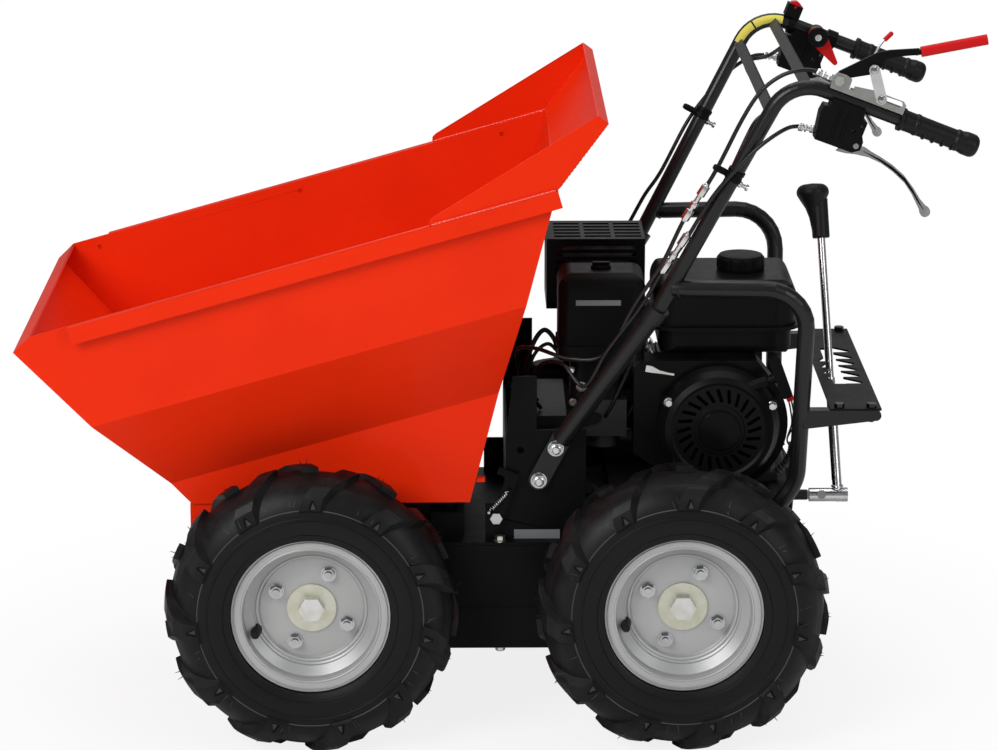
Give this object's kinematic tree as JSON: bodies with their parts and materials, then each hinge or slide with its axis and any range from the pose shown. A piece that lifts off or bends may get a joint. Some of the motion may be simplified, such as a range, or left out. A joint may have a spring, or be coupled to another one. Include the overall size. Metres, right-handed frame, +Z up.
{
  "type": "concrete buggy",
  "caption": "Walk-behind concrete buggy: tipping steel tub over a low chassis, petrol engine, belt drive, lugged tyres, handlebar with clutch and hand levers, gear lever in a notched gate.",
  "frame": {"origin": "on the ground under the middle of the machine's bounding box", "axes": "+X to the rear, where the operator walks; +Y to the machine's right; +Z up"},
  "size_m": [1.3789, 0.702, 1.0605],
  "materials": {
    "tub_paint": "gloss powder coat",
    "frame_paint": "satin powder coat",
    "tyre_rubber": "moulded rubber",
    "rim_paint": "silver paint",
    "hub_iron": "as cast, painted",
    "zinc": "zinc plated",
    "chrome": "plated",
    "soft_rubber": "matt",
    "black_plastic": "fine grain",
    "engine_paint": "satin black",
    "engine_alloy": "cast",
    "muffler_steel": "heat dulled",
    "red_plastic": "moulded"
  },
  "bodies": {
    "machine": {"chassis_box": "frame_paint", "engine_frame": "frame_paint", "gearbox": "hub_iron", "tub_buffers": "soft_rubber", "hoops": "frame_paint", "handlebars": "frame_paint", "grips": "soft_rubber", "lever_housings": "black_plastic", "clutch_bracket": "zinc", "shift_gate": "frame_paint", "frame_bolts": "zinc", "crankcase": "engine_paint", "blower_housing": "engine_paint", "recoil_cover": "engine_paint", "fuel_tank": "engine_paint", "air_cleaner": "black_plastic", "muffler": "muffler_steel", "muffler_guard": "frame_paint", "carburettor": "engine_alloy", "control_cables": "soft_rubber", "right_controls": "black_plastic", "belt_guard": "frame_paint", "drive_belt": "soft_rubber", "latch_spring": "zinc"},
    "front_left_wheel": {"front_left_tyre": "tyre_rubber", "front_left_rim": "rim_paint", "front_left_hub": "hub_iron", "front_left_fasteners": "zinc"},
    "front_right_wheel": {"front_right_tyre": "tyre_rubber", "front_right_rim": "rim_paint", "front_right_hub": "hub_iron", "front_right_fasteners": "zinc"},
    "rear_left_wheel": {"rear_left_tyre": "tyre_rubber", "rear_left_rim": "rim_paint", "rear_left_hub": "hub_iron", "rear_left_fasteners": "zinc"},
    "rear_right_wheel": {"rear_right_tyre": "tyre_rubber", "rear_right_rim": "rim_paint", "rear_right_hub": "hub_iron", "rear_right_fasteners": "zinc"},
    "tipping_tub": {"tub": "tub_paint", "spill_guard": "tub_paint", "tub_hinge_brackets": "tub_paint"},
    "latch_hook": {"tub_latch": "frame_paint"},
    "clutch_hand_lever": {"clutch_lever": "frame_paint", "clutch_sleeve": "red_plastic"},
    "clutch_toggle": {"clutch_link": "zinc"},
    "left_hand_lever": {"left_lever": "engine_alloy"},
    "right_hand_lever": {"right_lever": "engine_alloy"},
    "throttle": {"throttle_lever": "red_plastic"},
    "stop_switch": {"stop_rocker": "red_plastic"},
    "selector": {"selector_shaft": "zinc"},
    "gear_lever": {"shift_lever": "chrome", "shift_knob": "black_plastic"},
    "tank_cap": {"fuel_cap": "black_plastic"},
    "starter_pull": {"starter_handle": "black_plastic"},
    "choke": {"choke_lever": "black_plastic"},
    "crank_pulley": {"engine_pulley": "hub_iron"},
    "input_pulley": {"gearbox_pulley": "hub_iron"},
    "belt_idler": {"idler_arm": "zinc"}
  },
  "joints": [
    {"name": "front_left_spin", "type": "hinge", "parent": "machine", "child": "front_left_wheel", "pos_m": [-0.2685, -0.293, 0.215], "axis": [0, 1, 0], "continuous": true},
    {"name": "front_right_spin", "type": "hinge", "parent": "machine", "child": "front_right_wheel", "pos_m": [-0.2685, 0.293, 0.215], "axis": [0, 1, 0], "continuous": true},
    {"name": "rear_left_spin", "type": "hinge", "parent": "machine", "child": "rear_left_wheel", "pos_m": [0.2735, -0.293, 0.215], "axis": [0, 1, 0], "continuous": true},
    {"name": "rear_right_spin", "type": "hinge", "parent": "machine", "child": "rear_right_wheel", "pos_m": [0.2735, 0.293, 0.215], "axis": [0, 1, 0], "continuous": true},
    {"name": "tub_tip", "type": "hinge", "parent": "machine", "child": "tipping_tub", "pos_m": [-0.4, 0, 0.2975], "axis": [0, -1, 0], "range_deg": [0, 80]},
    {"name": "latch_swing", "type": "hinge", "parent": "machine", "child": "latch_hook", "pos_m": [0.002, -0.1865, 0.3195], "axis": [0, -1, 0], "range_deg": [0, 22], "deforming": ["latch_spring"]},
    {"name": "clutch_squeeze", "type": "hinge", "parent": "machine", "child": "clutch_hand_lever", "pos_m": [0.48122, -0.299, 0.99587], "axis": [0, 1, 0], "range_deg": [0, 20], "stiffness_Nm_per_rad": 4, "springref_deg": -11.46},
    {"name": "clutch_toggle_turn", "type": "hinge", "parent": "clutch_hand_lever", "child": "clutch_toggle", "pos_m": [0.53022, -0.3135, 1.01138], "axis": [0, 1, 0], "range_deg": [-49, 0]},
    {"name": "left_lever_squeeze", "type": "hinge", "parent": "machine", "child": "left_hand_lever", "pos_m": [0.50667, -0.299, 0.90319], "axis": [0, -1, 0], "range_deg": [0, 25], "stiffness_Nm_per_rad": 3, "springref_deg": -11.46},
    {"name": "right_lever_squeeze", "type": "hinge", "parent": "machine", "child": "right_hand_lever", "pos_m": [0.50667, 0.299, 0.90319], "axis": [0, -1, 0], "range_deg": [0, 25], "stiffness_Nm_per_rad": 3, "springref_deg": -11.46},
    {"name": "throttle_turn", "type": "hinge", "parent": "machine", "child": "throttle", "pos_m": [0.50651, 0.255, 0.9653], "axis": [0, 1, 0], "range_deg": [0, 60]},
    {"name": "stop_rock", "type": "hinge", "parent": "machine", "child": "stop_switch", "pos_m": [0.47482, 0.299, 1.00521], "axis": [0, 1, 0], "range_deg": [-8, 8]},
    {"name": "selector_turn", "type": "hinge", "parent": "machine", "child": "selector", "pos_m": [0.3, 0, 0.297], "axis": [1, 0, 0], "range_deg": [-10, 40]},
    {"name": "gear_lever_swing", "type": "hinge", "parent": "selector", "child": "gear_lever", "pos_m": [0.502, 0, 0.297], "axis": [0, 0.9563, -0.2924], "range_deg": [0, 6]},
    {"name": "cap_turn", "type": "hinge", "parent": "machine", "child": "tank_cap", "pos_m": [0.37, -0.034, 0.6715], "axis": [0, 0, 1], "range_deg": [0, 90]},
    {"name": "starter_pull_out", "type": "slide", "parent": "machine", "child": "starter_pull", "axis": [0.9397, 0, 0.342], "range_m": [0, 0.5], "stiffness_N_per_m": 20, "springref_m": -0.1},
    {"name": "choke_turn", "type": "hinge", "parent": "machine", "child": "choke", "pos_m": [0.15, -0.1445, 0.4595], "axis": [0, 1, 0], "range_deg": [0, 40]},
    {"name": "input_pulley_spin", "type": "hinge", "parent": "machine", "child": "input_pulley", "pos_m": [0.088, 0.16, 0.4025], "axis": [0, 1, 0], "continuous": true},
    {"name": "crank_pulley_spin", "type": "hinge", "parent": "machine", "child": "crank_pulley", "pos_m": [0.331, 0.16, 0.4525], "axis": [0, 1, 0], "continuous": true},
    {"name": "idler_swing", "type": "hinge", "parent": "machine", "child": "belt_idler", "pos_m": [0.176, 0.1455, 0.5355], "axis": [0, 1, 0], "range_deg": [0, 30]}
  ],
  "couplings": [
    {"joint": "rear_left_spin", "follows": "front_left_spin", "ratio": 1},
    {"joint": "rear_right_spin", "follows": "front_right_spin", "ratio": 1},
    {"joint": "clutch_toggle_turn", "follows": "clutch_squeeze", "ratio": -2.45},
    {"joint": "idler_swing", "follows": "clutch_squeeze", "ratio": 1.5},
    {"joint": "crank_pulley_spin", "follows": "input_pulley_spin", "ratio": 1.3684}
  ]
}
